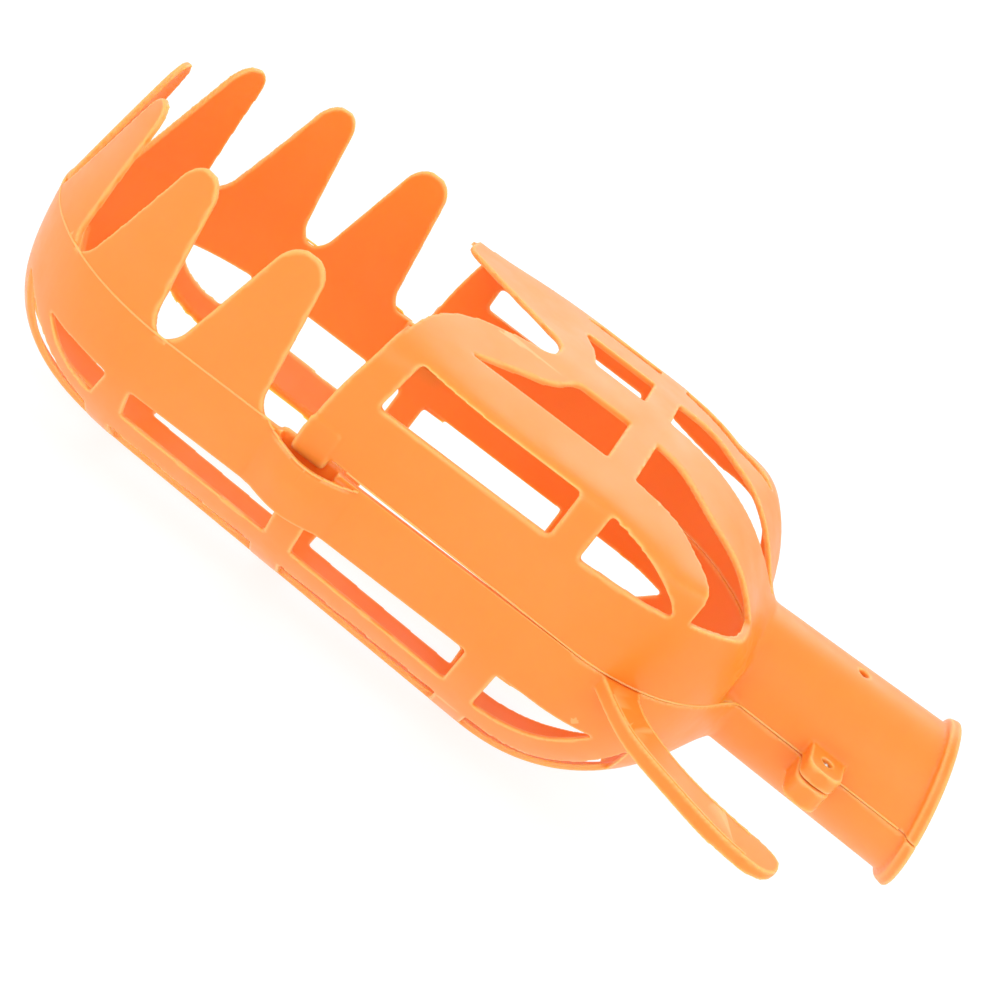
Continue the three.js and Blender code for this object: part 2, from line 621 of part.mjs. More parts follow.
function meshOf(name, solid, material) {
  const { vertProperties, triVerts } = solid.getMesh();
  const geometry = new THREE.BufferGeometry();
  geometry.setAttribute('position', new THREE.BufferAttribute(vertProperties, 3));
  geometry.setIndex(new THREE.BufferAttribute(triVerts, 1));
  geometry.computeVertexNormals();
  const mesh = new THREE.Mesh(geometry, material);
  mesh.name = name;
  return mesh;
}

const plainMaterial = (color, roughness, metalness) => (
  new THREE.MeshStandardMaterial({ color, roughness, metalness })
);
const orangePlastic = plainMaterial(0xfb8a3c, 0.42, 0);
const zincSteel = plainMaterial(0xb8bcc0, 0.35, 1);

const picker = new THREE.Group();
picker.add(meshOf('lower_basket', lowerBasket(), orangePlastic));
picker.add(meshOf('upper_cage', upperCage(), orangePlastic));
picker.add(meshOf('clamp_screw_near', clampScrew(-1), zincSteel));
picker.add(meshOf('clamp_screw_far', clampScrew(1), zincSteel));

export default picker;
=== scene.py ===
"""A fruit picker's head, in orange translucent plastic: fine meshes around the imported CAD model.

Frame, as in the CAD: the origin is the centre of the socket's mouth, +X runs back along the pole,
+Z is the side of the cage and -Y the side with the branch hook. Shapes are worked out in
millimetres, as on the drawing, and scaled to metres when a mesh is made.
"""

import math

import bmesh
import bpy
from mathutils import Matrix, Vector


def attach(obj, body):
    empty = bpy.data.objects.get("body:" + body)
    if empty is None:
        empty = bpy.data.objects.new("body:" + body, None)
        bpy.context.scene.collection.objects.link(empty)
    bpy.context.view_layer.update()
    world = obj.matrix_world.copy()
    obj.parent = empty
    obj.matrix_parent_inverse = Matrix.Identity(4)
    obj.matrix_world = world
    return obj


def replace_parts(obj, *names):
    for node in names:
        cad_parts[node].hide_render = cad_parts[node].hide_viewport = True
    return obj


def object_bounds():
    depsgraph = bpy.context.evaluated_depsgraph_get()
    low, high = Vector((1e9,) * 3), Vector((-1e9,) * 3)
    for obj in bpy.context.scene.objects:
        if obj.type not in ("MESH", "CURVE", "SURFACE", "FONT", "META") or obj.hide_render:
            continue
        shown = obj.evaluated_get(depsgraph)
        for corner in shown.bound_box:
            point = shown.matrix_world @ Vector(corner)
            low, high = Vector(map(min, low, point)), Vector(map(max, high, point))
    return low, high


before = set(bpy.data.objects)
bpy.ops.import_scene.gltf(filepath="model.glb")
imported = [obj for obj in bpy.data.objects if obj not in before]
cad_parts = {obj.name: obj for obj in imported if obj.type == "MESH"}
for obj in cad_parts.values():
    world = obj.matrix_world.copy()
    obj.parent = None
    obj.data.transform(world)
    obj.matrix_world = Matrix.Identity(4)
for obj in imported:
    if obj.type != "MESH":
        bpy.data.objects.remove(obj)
CAD_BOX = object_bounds()

MM = 0.001
WALL = 2.0
FAR_AWAY = 100.0
SLIVER = 0.01
NEARLY_ONE = 0.9999
NEARLY_HALF = 0.499
TINY = 1e-6

# ---------------------------------------------------------------- driving dimensions, in millimetres

HALF_WIDTH = 60.0
NOSE_START = -262.0
NOSE_LENGTH = 66.0
SHOULDER_START = -118.0
SHOULDER_LENGTH = 52.0

BELLY_DEPTH = 76.1
BELLY_SLOPE = 0.0526
BELLY_NOSE = (-267.5, 62.6, 3.21)
BELLY_SHOULDER = (-129.9, 67.7, 1.93)

ROOF_HEIGHT = 48.24
ROOF_FALL = 0.105
ROOF_RIDGE = 0.03
ROOF_FALL_END = (-112.0, -90.0)
ROOF_SHOULDER = (-143.0, 70.0, 2.3)
CAGE_FRONT = -219.0
CORNER_SHARPNESS = 20.0
HOOP_SHARPNESS = 8.0
HOOP_SPAN = (165.0, 212.0)
REAR_SHARPNESS = 8.0
REAR_SPAN = (-85.0, -66.0)
CORNER_SPREAD = 0.16
PARTING_GAP = 0.3
PARTING_RISE = 1.6
PARTING_RISE_LENGTH = 88.0

SOCKET_RADIUS = 24.7
SOCKET_TAPER = 0.025
SOCKET_FILLET = 11.0
MOUTH_SLANT = math.tan(math.radians(13))
SLANT_START = -45.0
SLANT_LENGTH = 35.0
FLANGE_START = -4.4
FLANGE_RISE = 2.4
FLANGE_POWER = 4
FLANGE_MOUTH_LIP = 0.9
POLE_SCREW = (-41.0, 1.8)

LUG_X = (-43.5, -31.5)
LUG_Y = (21.0, 36.0)
LUG_CORNER = 4.5
UPPER_LUG_TOP = 6.0
LOWER_LUG = (-8.0, -0.2)
SCREW_X = -37.5
SCREW_Y = 29.0
SCREW_HOLE = 1.8
SCREW_HEAD = (-7.6, -5.6, 3.1)
SCREW_SHANK = 1.25
SCREW_TIP = (4.6, 5.6, 0.5)
THREAD_PITCH = 1.1
THREAD_DEPTH = 0.3
RECESS_DEPTH = 1.1
RECESS_HALF_LENGTH = 1.7
RECESS_HALF_WIDTH = 0.38
RECESS_TAPER = 0.55
CUT_CLEARANCE = 0.1
HEAD_CROWN = 0.72
HEAD_EDGE = 0.3
HEAD_SEAT = 0.97
SHANK_START = 0.02
THREAD_SHARPNESS = 3
THREAD_FADE = (SCREW_HEAD[1] + 1, SCREW_HEAD[1] + 2)
SCREW_BEVEL = 0.08
SCREW_BEVEL_ANGLE = math.radians(50)
SCREW_CREASE = math.radians(35)
COUNTERBORE = (3.6, -5.2)

TOOTH_CENTRES = (-114.5, -76.5, -38.5, 0.0, 38.5, 76.5, 114.5)
TOOTH_BASE_HALF = 15.2
TOOTH_TIP_HALF = 6.4
TOOTH_FLARE = (2.6, 6.0)
TOOTH_HEIGHT = 47.6
TOOTH_TIP_ROUND = 7.0
TOOTH_REAR_SKEW = 4.6
TOOTH_ROOT = -1.5
TOOTH_STRAIGHT_START = 8.0
TIP_NARROWING = 0.75
TIP_FULLNESS = 0.98
NOSE_RAKE = 11.8
SIDE_RAKE = 2.0
RIM_RADIUS = 63.0

NOTCH = (-221.8, -202.5, -7.6, 9.0)
TONGUE = (-218.2, -206.5, -2.6, 6.0)
BACK_PLATE = (-223.0, -201.0, -9.0, 0.6)
BACK_PLATE_FACES = (56.3, 57.95)
TONGUE_CLEARANCE = 0.05
POCKET_X = -210.0
POCKET_HALF = 17.0
POCKET_BULGE = 5.0
POCKET_Z = (-26.0, -2.0)
POCKET_START = -22.0
POCKET_FULL = POCKET_Z[0] / 3
POCKET_FLOOR = -14.0
POCKET_WALL = 1.8
POCKET_LIP = 0.4
POCKET_SHAPE = 1.4

FOOT_PAD = (-217.9, -207.2, -1.4, 10.5)
PAD_HEIGHT = 0.4
PAD_ROOT = 0.5

HOOK_OUTER = [(-110, -57.4), (-95.2, -74.8), (-77.3, -84), (-59.7, -90.6), (-43, -92.8)]
HOOK_INNER = [(-97.2, -53.6), (-91.4, -64), (-77.3, -73.3), (-61, -78), (-40.5, -80.6)]
HOOK_WEB = 2.4
HOOK_FLANGE = 5.0
HOOK_END = 0.86
HOOK_END_FULLNESS = 0.96
FLANGE_FADE = 0.98
FLANGE_FADE_POWER = 6

# Window outlines, with an optional corner radius. Side windows are drawn in X and Z.
WINDOW_CORNER = 1.3
SIDE_TOP = -22.5
BELLY_FAR_LIFT = 2.0
CAGE_NEAR_WINDOWS = [
    [(-203.5, 24), (-145, 24.6), (-145, 40), (-201, 40)],
    [(-134.4, 24.2), (-104, 26.2), (-106, 29.6, 4), (-111.5, 33.6, 6), (-121, 37.8, 8), (-134.4, 40)],
]
CAGE_FAR_WINDOWS = [
    [(-203.5, 20.5), (-145, 20.5), (-145, 29.5), (-203.5, 29.5)],
    [(-134.4, 20.5), (-84, 17), (-88, 23.5, 4), (-98, 27.5, 6), (-110, 26, 6), (-122, 27.5, 6),
     (-134.4, 30)],
]
BELLY_SIDE_WINDOWS = [
    [(-301, -23, 2), (-274.7, SIDE_TOP), (-277.8, -35.4), (-287, -34.2, 6), (-295, -30, 6)],
    [(-265.5, SIDE_TOP), (-211.7, SIDE_TOP), (-211.7, -36), (-265.5, -34)],
    [(-201.5, SIDE_TOP), (-143, SIDE_TOP), (-143, -39.4), (-201.5, -36.4)],
    [(-131.5, SIDE_TOP), (-98, SIDE_TOP, 1.5), (-105, -30.4, 6), (-112, -35.6, 6),
     (-122.4, -39.6, 8), (-131.5, -40.8)],
]

# Roof and belly windows are drawn in X and Y.
ROOF_REAR_NEAR_WINDOW = [
    (-134.4, -11), (-125.5, -11.5, 6), (-112.2, -18.5, 8), (-98.5, -23.8, 8), (-83.5, -30.4, 6),
    (-70, -33), (-70, -62), (-98.5, -62), (-98.5, -54, 6), (-105.8, -43.5, 8), (-116.8, -37, 8),
    (-134.4, -37),
]
ROOF_REAR_FAR_WINDOW = [
    (-134.4, 9), (-134.4, 33), (-119.5, 37, 8), (-106.8, 32, 8), (-90.8, 18, 8), (-83, 13.5, 6),
    (-77, 3), (-84, 5, 4), (-91.5, 3.5, 6), (-102.8, 6.5, 8), (-113, 9, 8),
]
ROOF_NEAR_WINDOW = [
    (-144.8, -10.4), (-144.8, -35.8), (-193.5, -36, 1.5), (-178.6, -26.4, 8), (-169, -21, 6),
    (-163.6, -10.4, 3),
]
ROOF_FAR_WINDOW = [
    (-144.8, 10), (-163.2, 10), (-166, 22.5, 6), (-171, 30, 3), (-171, 34), (-144.8, 34),
]
ROOF_FAR_SLOTS = [
    [(-144.8, 49), (-176, 49, 1.5), (-168, 54.5, 2), (-144.8, 55.5, 1.5)],
    [(-134.4, 48.8), (-116, 46.6, 8), (-104, 44.6, 8), (-92, 41, 2), (-101, 48.6, 8),
     (-116, 54, 8), (-134.4, 55.5, 1.5)],
]
ROOF_FRONT_EDGE = [
    (-240, 80, 0), (-217.4, 80, 0), (-217.4, 31, 4), (-211, 26.4, 4), (-193, 15.8, 8), (-175, 6.2, 5),
    (-174.4, -6, 5), (-194, -12.8, 10), (-205.5, -22.5, 8), (-210.6, -36, 10), (-211.6, -80, 0),
    (-240, -80, 0),
]
WALL_FRONT_EDGE = [
    (-240, -10, 0), (-217.8, -10, 0), (-217.6, 8, 6), (-216, 22, 10), (-212, 40, 6),
    (-211.6, 60, 0), (-240, 60, 0),
]
BELLY_ROWS = [(6.5, 17), (28, 42)]
BELLY_COLUMNS = [(-269, -214), (-202.6, -142), (-130, -86)]
BELLY_FRONT_WINDOWS = [
    [(-279, 6.5), (-279, 17), (-330, 17, 0), (-330, 6.5, 0)],
    [(-279, 28), (-279, 42), (-297, 40, 6), (-309, 36.5, 6), (-318, 28)],
]
BELLY_WINDOW_TOP = -24.5
ROOF_WINDOW_BOTTOM = 19.0
ROOF_CORNER_BOTTOM = 27.0
ROOF_SLOT_BOTTOM = 32.0
ROOF_EDGE_BOTTOM = 41.4
HOOP_WALLS = (-20, 46)

# Beads along the rim, the hook and the cage's lower edges
BEAD_RADIUS = 0.36
BEAD_SINK = 0.12
RIM_BEAD_HEIGHT = 0.4
RIM_BEAD_DROP = 0.1
RIM_BEAD_DIP = 0.35
HOOK_BEAD_SPAN = (0.12, 0.85)
HOOK_BEAD_INSET = 0.1

# How finely each shape is made
RING_STEPS = 96
RIM_TO_RIDGE_STEPS = (8, 20, 20)
STATION_STEP = 2.0
NOSE_RINGS = 30
NOSE_TIP_ANGLE = math.radians(89)
FLANGE_RINGS = 16
BEYOND_MOUTH = 12.0
CURVE_STEPS = 8
HOLE_SIDES = 40
TOOTH_STEPS = 18
TOOTH_ROOT_RINGS = 10
TOOTH_RINGS = 12
POCKET_STEPS = 24
POCKET_RINGS = 16
HOOK_STEPS = 60
BEAD_SIDES = 10
RIM_BEAD_STEPS = 241
POCKET_BEAD_STEPS = 32
SCREW_SIDES = 64
SCREW_HEAD_RINGS = 8
SCREW_STEP = 0.1

# How the mouldings' edges are rounded
VOXEL = 0.6
SMOOTH_SHARE = 0.5
SMOOTHING = 4
KEEP_FACES = 0.45
MOULDED_CREASE = math.radians(50)

# ---------------------------------------------------------------- meshes


def smooth_step(value, start, end):
    share = min(max((value - start) / (end - start), 0.0), 1.0)
    return share * share * (3 - 2 * share)


def mix(a, b, share):
    return a + (b - a) * share


def closed_skin(name, rings):
    """A closed mesh over rings of points in millimetres, with a flat face over each end."""
    count = len(rings[0])
    shape = bmesh.new()
    rows = [[shape.verts.new(Vector(point) * MM) for point in ring] for ring in rings]
    for row, following in zip(rows, rows[1:]):
        for i in range(count):
            j = (i + 1) % count
            shape.faces.new((row[i], row[j], following[j], following[i]))
    shape.faces.new(rows[0])
    shape.faces.new(rows[-1])
    bmesh.ops.recalc_face_normals(shape, faces=shape.faces)
    bmesh.ops.triangulate(shape, faces=[face for face in shape.faces if len(face.verts) > 4])
    mesh = bpy.data.meshes.new(name)
    shape.to_mesh(mesh)
    shape.free()
    piece = bpy.data.objects.new(name, mesh)
    bpy.context.scene.collection.objects.link(piece)
    return piece


def rounded_outline(corners):
    """The outline's points, with each corner rounded by its own radius or the windows' radius."""
    points = []
    for i, corner in enumerate(corners):
        here = Vector(corner[:2])
        radius = corner[2] if len(corner) > 2 else WINDOW_CORNER
        before = Vector(corners[i - 1][:2])
        after = Vector(corners[(i + 1) % len(corners)][:2])
        if radius == 0:
            points.append(here)
            continue
        start = here.lerp(before, min(radius / (before - here).length, NEARLY_HALF))
        end = here.lerp(after, min(radius / (after - here).length, NEARLY_HALF))
        for step in range(CURVE_STEPS + 1):
            share = step / CURVE_STEPS
            points.append(start.lerp(here, share).lerp(here.lerp(end, share), share))
    return points


def upright_prism(corners, bottom, top):
    outline = rounded_outline(corners)
    return closed_skin("cutter", [[(p.x, p.y, z) for p in outline] for z in (bottom, top)])


def cross_prism(corners, low, high, lift=0.0):
    outline = rounded_outline(corners)
    return closed_skin("cutter", [[(p.x, y, p.y + lift) for p in outline] for y in (low, high)])


def side_plate(corners, side, inner, outer):
    """A flat plate on one side of the pole's axis, between two distances from it."""
    return cross_prism(corners, *sorted((side * inner, side * outer)))


def full_turn(sides):
    """Evenly spaced angles round a circle."""
    return [2 * math.pi * side / sides for side in range(sides)]


def circle(x, y, radius, z):
    return [
        (x + radius * math.cos(turn), y + radius * math.sin(turn), z)
        for turn in full_turn(HOLE_SIDES)
    ]


def hole(x, y, radius, bottom, top):
    return closed_skin("cutter", [circle(x, y, radius, z) for z in (bottom, top)])


def mirrored(corners):
    return [(corner[0], -corner[1], *corner[2:]) for corner in corners]


def bake(piece):
    """Applies the piece's modifiers."""
    evaluated = piece.evaluated_get(bpy.context.evaluated_depsgraph_get())
    mesh = bpy.data.meshes.new_from_object(evaluated)
    piece.modifiers.clear()
    piece.data = mesh


def combine(piece, tools, operation):
    """Joins the tools to the piece, or cuts them out of it, and removes them."""
    for tool in tools:
        modifier = piece.modifiers.new("combine", "BOOLEAN")
        modifier.operation = operation
        modifier.solver = "MANIFOLD"
        modifier.object = tool
    bake(piece)
    for tool in tools:
        bpy.data.objects.remove(tool)


def finish_moulding(piece, beads, name, body):
    """Remeshes a moulding evenly, rounds its edges, adds its beads and puts it on its body."""
    remesh = piece.modifiers.new("remesh", "REMESH")
    remesh.mode = "VOXEL"
    remesh.voxel_size = VOXEL * MM
    smooth = piece.modifiers.new("smooth", "SMOOTH")
    smooth.factor = SMOOTH_SHARE
    smooth.iterations = SMOOTHING
    reduce = piece.modifiers.new("reduce", "DECIMATE")
    reduce.ratio = KEEP_FACES
    bake(piece)
    combine(piece, beads, "UNION")
    piece.data.shade_smooth()
    piece.data.set_sharp_from_angle(angle=MOULDED_CREASE)
    piece.name = name
    piece.data.name = name
    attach(piece, body)


# ---------------------------------------------------------------- the hull's surfaces


def smooth_max(a, b):
    """The larger of two values, with a fillet where they are nearly equal."""
    overlap = max(SOCKET_FILLET - abs(a - b), 0) / SOCKET_FILLET
    return max(a, b) + overlap * overlap * SOCKET_FILLET / 4


def taper(distance, length, power):
    """1 where a taper starts and 0 where it ends, along a superellipse."""
    share = min(max(distance / length, 0.0), NEARLY_ONE)
    return (1 - share ** power) ** (1 / power)


def half_width(x, inset):
    """Half the hull's width, from the nose to the shoulder."""
    nose = taper(NOSE_START - x, NOSE_LENGTH - inset, 2)
    shoulder = taper(x - SHOULDER_START, SHOULDER_LENGTH - inset, 2)
    return (HALF_WIDTH - inset) * nose * shoulder


def belly_depth(x, inset):
    """How far the belly hangs below the parting plane."""
    start, length, power = BELLY_NOSE
    nose = taper(start - x, length - inset, power)
    start, length, power = BELLY_SHOULDER
    shoulder = taper(x - start, length - inset, power)
    return (BELLY_DEPTH + BELLY_SLOPE * x - inset) * nose * shoulder


def roof_height(x, inset):
    """How far the cage's roof stands above the parting plane."""
    start, length, power = ROOF_SHOULDER
    return (ROOF_HEIGHT - inset) * taper(x - start, length - inset, power)


def socket_radius(x, inset):
    """The socket's radius where the hull runs into it. Further forward there is no socket."""
    return SOCKET_RADIUS + SOCKET_TAPER * x - inset if x > SHOULDER_START else 0.0


def blended(hull, socket):
    return smooth_max(hull, socket) if socket > 0 else hull


def placed(x, y, z):
    """The mouth's end slants, so points near it are sheared along X."""
    share = min(max((x - SLANT_START) / SLANT_LENGTH, 0.0), 1.0)
    return (x - MOUTH_SLANT * share * z, y, z)


def flange_rise(x):
    """How far the rounded flange stands out of the socket at a place along it."""
    if x < FLANGE_START:
        return 0.0
    middle = FLANGE_START / 2
    share = min(abs(x - middle) / abs(middle), 1.0)
    lip = FLANGE_MOUTH_LIP * share if x > middle else 0.0
    return FLANGE_RISE * math.sqrt(1 - share ** FLANGE_POWER) + lip


def belly_ring(x, inset, extra=0.0, top=0.0):
    """A half-elliptical ring of the belly, from the far side round the bottom to the near side."""
    socket = socket_radius(x, inset) + extra
    width = max(half_width(x, inset), SLIVER)
    depth = max(belly_depth(x, inset), SLIVER)
    ring = []
    for step in range(RING_STEPS + 1):
        turn = math.pi * step / RING_STEPS
        down = blended(depth, socket) * math.sin(turn)
        angle = math.atan2(down, blended(width, socket) * math.cos(turn))
        hull = width * depth / math.hypot(depth * math.cos(angle), width * math.sin(angle))
        radius = blended(hull, socket)
        ring.append(placed(x, radius * math.cos(angle), -radius * math.sin(angle)))
    if top > 0:
        side = ring[0][1]
        ring = [placed(x, side, top), *ring, placed(x, -side, top)]
    return ring


def corner_sharpness(x):
    """How square the cage's corners are: rounder at the hoop and where it meets the socket."""
    squared = mix(CORNER_SHARPNESS, HOOP_SHARPNESS, smooth_step(-x, *HOOP_SPAN))
    return mix(squared, REAR_SHARPNESS, smooth_step(x, *REAR_SPAN))


def cage_ring(x, inset, extra=0.0, bottom=0.0):
    """A ring of the cage, from the far side over the roof to the near side."""
    socket = socket_radius(x, inset) + extra
    width = max(half_width(x, inset), SLIVER)
    height = max(roof_height(x, inset), SLIVER)
    sharpness = corner_sharpness(x)
    fall = ROOF_FALL * (1 - smooth_step(x, *ROOF_FALL_END))
    rise = min(max((SHOULDER_START - x) / PARTING_RISE_LENGTH, 0.0), 1.0)
    rim = math.atan2(PARTING_GAP + PARTING_RISE * rise, blended(width, socket))
    eaves = max(height - width * fall, SLIVER)
    corner = math.atan2(blended(eaves, socket), blended(width, socket))
    bounds = [rim, corner - CORNER_SPREAD, corner + CORNER_SPREAD, math.pi / 2]
    angles = [
        mix(low, high, i / count)
        for low, high, count in zip(bounds, bounds[1:], RIM_TO_RIDGE_STEPS)
        for i in range(count)
    ]
    quarter = []
    for angle in [*angles, math.pi / 2]:
        wall = width / max(math.cos(angle), TINY)
        slope = fall * math.hypot(math.cos(angle), math.sqrt(ROOF_RIDGE))
        roof = height / (math.sin(angle) + slope)
        hull = roof * (1 + (roof / wall) ** sharpness) ** (-1 / sharpness)
        radius = blended(hull, socket)
        quarter.append((radius * math.cos(angle), radius * math.sin(angle)))
    ring = [placed(x, y, z) for y, z in quarter]
    ring += [placed(x, -y, z) for y, z in reversed(quarter[:-1])]
    if bottom < 0:
        side = quarter[0][0]
        ring = [placed(x, side, bottom), *ring, placed(x, -side, bottom)]
    return ring


def stations(start, end):
    count = max(round(abs(end - start) / STATION_STEP), 1)
    return [mix(start, end, i / count) for i in range(count)]


def nose_stations(inset):
    """Closer and closer together towards the tip of the nose."""
    angles = [NOSE_TIP_ANGLE * (NOSE_RINGS - i) / NOSE_RINGS for i in range(NOSE_RINGS)]
    return [NOSE_START - (NOSE_LENGTH - inset) * math.sin(angle) for angle in angles]


FLANGE_STATIONS = [FLANGE_START * (1 - i / FLANGE_RINGS) for i in range(FLANGE_RINGS + 1)]

# ---------------------------------------------------------------- lower basket


def rim_point(along, z, inset):
    """A point of the toothed rim: `along` runs round the rim from the nose's centre."""
    side = math.copysign(1, along)
    turn = min(abs(along) / RIM_RADIUS, math.pi / 2)
    beyond = max(abs(along) - RIM_RADIUS * math.pi / 2, 0.0)
    rise = max(z, 0.0) / TOOTH_HEIGHT
    reach = NOSE_LENGTH - inset - NOSE_RAKE * rise
    spread = HALF_WIDTH - inset - SIDE_RAKE * rise
    return (NOSE_START - reach * math.cos(turn) + beyond, side * spread * math.sin(turn), z)


def tooth_half_width(z):
    """Flared at the root, straight, and rounded at the tip."""
    flare, flare_height = TOOTH_FLARE
    straight = mix(TOOTH_BASE_HALF, TOOTH_TIP_HALF, max(z, 0.0) / TOOTH_HEIGHT)
    straight += flare * max(1 - max(z, 0.0) / flare_height, 0.0) ** 2
    tip = min(max(z - (TOOTH_HEIGHT - TOOTH_TIP_ROUND), 0.0), TOOTH_TIP_ROUND * TIP_FULLNESS)
    rounding = TOOTH_TIP_ROUND - math.sqrt(TOOTH_TIP_ROUND ** 2 - tip ** 2)
    return straight - rounding * TIP_NARROWING


def tooth(centre):
    rings = []
    start, straight_top = TOOTH_STRAIGHT_START, TOOTH_HEIGHT - TOOTH_TIP_ROUND
    heights = [mix(TOOTH_ROOT, start, i / TOOTH_ROOT_RINGS) for i in range(TOOTH_ROOT_RINGS)]
    heights += [mix(start, straight_top, i / TOOTH_RINGS) for i in range(TOOTH_RINGS)]
    heights += [
        straight_top + TOOTH_TIP_ROUND * math.sin(math.pi / 2 * i / TOOTH_RINGS)
        for i in range(TOOTH_RINGS + 1)
    ]
    for z in heights:
        skew = TOOTH_REAR_SKEW * max(z, 0.0) / TOOTH_HEIGHT * centre / max(TOOTH_CENTRES)
        half = tooth_half_width(z)
        places = [centre + skew + half * (2 * i / TOOTH_STEPS - 1) for i in range(TOOTH_STEPS + 1)]
        outer = [rim_point(along, z, 0) for along in places]
        inner = [rim_point(along, z, WALL) for along in reversed(places)]
        rings.append([*outer, *inner])
    return closed_skin("tooth", rings)


def belly_wall_at(z):
    """How far out the middle of the belly's wall is at a height, beside the pocket."""
    return HALF_WIDTH * math.sqrt(1 - (z / belly_depth(POCKET_X, 0)) ** 2) - WALL / 2


def bulge_ring(side, z, wall, root):
    """A level ring of the pocket: a straight root, and a swelling that deepens towards its top."""
    depth = smooth_step(z, POCKET_Z[0], POCKET_FULL)
    steps = [2 * i / POCKET_STEPS - 1 for i in range(POCKET_STEPS + 1)]
    half = POCKET_HALF - wall
    swell = HALF_WIDTH - root + POCKET_BULGE * depth - wall
    outer = []
    for step in steps:
        share = max(math.cos(step * math.pi / 2), 0) ** POCKET_SHAPE
        outer.append((POCKET_X + step * half, side * (root + POCKET_LIP + swell * share), z))
    inner = [(POCKET_X + step * half, side * root, z) for step in reversed(steps)]
    return [*outer, *inner]


def pocket(side):
    """The bulge outside the rim that takes the cage's tongue."""
    top = POCKET_Z[1]
    heights = [mix(POCKET_START, top, i / POCKET_RINGS) for i in range(POCKET_RINGS + 1)]
    solid = closed_skin("pocket", [bulge_ring(side, z, 0, belly_wall_at(z)) for z in heights])
    slot_root = HALF_WIDTH - WALL - 1
    slot_rings = [bulge_ring(side, z, POCKET_WALL, slot_root) for z in (POCKET_FLOOR, top + 1)]
    slot = closed_skin("cutter", slot_rings)
    combine(solid, [slot], "DIFFERENCE")
    return solid


def spline(points, share):
    """A point of the smooth curve through points, at a share of the way along it."""
    place = share * (len(points) - 1)
    i = min(int(place), len(points) - 2)
    t = place - i
    p = [Vector(points[min(max(k, 0), len(points) - 1)]) for k in range(i - 1, i + 3)]
    return 0.5 * (
        2 * p[1] + (p[2] - p[0]) * t + (2 * p[0] - 5 * p[1] + 4 * p[2] - p[3]) * t ** 2
        + (3 * p[1] - p[0] - 3 * p[2] + p[3]) * t ** 3
    )


def hook():
    """An angle section that sweeps back from the near side of the rim."""
    rings = []
    for step in range(HOOK_STEPS + 1):
        share = step / HOOK_STEPS
        outer = spline(HOOK_OUTER, share)
        inner = spline(HOOK_INNER, share)
        end = max((share - HOOK_END) / (1 - HOOK_END), 0.0)
        narrowing = (1 - math.sqrt(1 - HOOK_END_FULLNESS * end ** 2)) / 2
        low = outer.lerp(inner, narrowing)
        high = inner.lerp(outer, narrowing)
        flange = low.lerp(high, min(WALL / (high - low).length, 0.5))
        fade = math.sqrt(1 - FLANGE_FADE * share ** FLANGE_FADE_POWER)
        drop = HOOK_WEB + (HOOK_FLANGE - HOOK_WEB) * fade
        section = [
            (high, 0), (low, 0), (low, -drop), (flange, -drop), (flange, -HOOK_WEB), (high, -HOOK_WEB),
        ]
        rings.append([(point.x, point.y, z) for point, z in section])
    return closed_skin("hook", rings)


def pocket_edge(step):
    """A point along the far pocket's outer lip, which dips from the rim to the pocket's top."""
    ring = bulge_ring(1, POCKET_Z[1], BEAD_SINK, belly_wall_at(POCKET_Z[1]))
    x, y, z = ring[round((step + 1) * POCKET_STEPS / 2)]
    dip = max(math.cos(step * math.pi / 2), 0) ** RIM_BEAD_DIP
    height = mix(RIM_BEAD_HEIGHT, z - RIM_BEAD_DROP, dip)
    return Vector((x, max(y, HALF_WIDTH - BEAD_SINK), height))


def bead(points):
    """A thin rounded bead along a line of points."""
    rings = []
    for i, point in enumerate(points):
        along = Vector(points[min(i + 1, len(points) - 1)]) - Vector(points[max(i - 1, 0)])
        across = along.cross(Vector((0, 0, 1))).normalized()
        over = across.cross(along).normalized()
        rings.append([
            Vector(point) + (across * math.cos(turn) + over * math.sin(turn)) * BEAD_RADIUS
            for turn in full_turn(BEAD_SIDES)
        ])
    return closed_skin("bead", rings)


def rim_line():
    """The rim at the teeth's feet, from one hinge round the nose to the other."""
    reach = RIM_RADIUS * math.pi / 2 + POCKET_X - POCKET_HALF - NOSE_START
    rim = [
        rim_point(mix(-reach, reach, i / RIM_BEAD_STEPS), RIM_BEAD_HEIGHT, BEAD_SINK)
        for i in range(RIM_BEAD_STEPS + 1)
    ]
    around = [pocket_edge(2 * i / POCKET_BEAD_STEPS - 1) for i in range(1, POCKET_BEAD_STEPS)]
    return [*(Vector((x, -y, z)) for x, y, z in reversed(around)), *rim, *around]


def lower_beads():
    """One bead runs round the rim, the others along the hook's two edges."""
    edges = [[], []]
    for i in range(HOOK_STEPS + 1):
        share = mix(*HOOK_BEAD_SPAN, i / HOOK_STEPS)
        outer = spline(HOOK_OUTER, share)
        inner = spline(HOOK_INNER, share)
        for edge, place in zip(edges, (HOOK_BEAD_INSET, 1 - HOOK_BEAD_INSET)):
            edge.append((*outer.lerp(inner, place), -BEAD_SINK))
    return [bead(line) for line in (rim_line(), *edges)]


def cage_beads():
    """A bead along each of the cage's lower edges, from the hoop's foot to the mouth."""
    beads = []
    for end in (0, -1):
        line = []
        for x in stations(NOTCH[1] + 2, FLANGE_START - 1):
            foot = Vector(cage_ring(x, BEAD_SINK)[end])
            line.append(foot + Vector((0, 0, BEAD_RADIUS)))
        beads.append(bead(line))
    return beads


def lug(side, bottom, top):
    (front, rear), (root, reach) = LUG_X, LUG_Y
    outline = [(front, root, 0), (rear, root, 0), (rear, reach, LUG_CORNER), (front, reach, LUG_CORNER)]
    return upright_prism(outline if side > 0 else mirrored(outline), bottom, top)


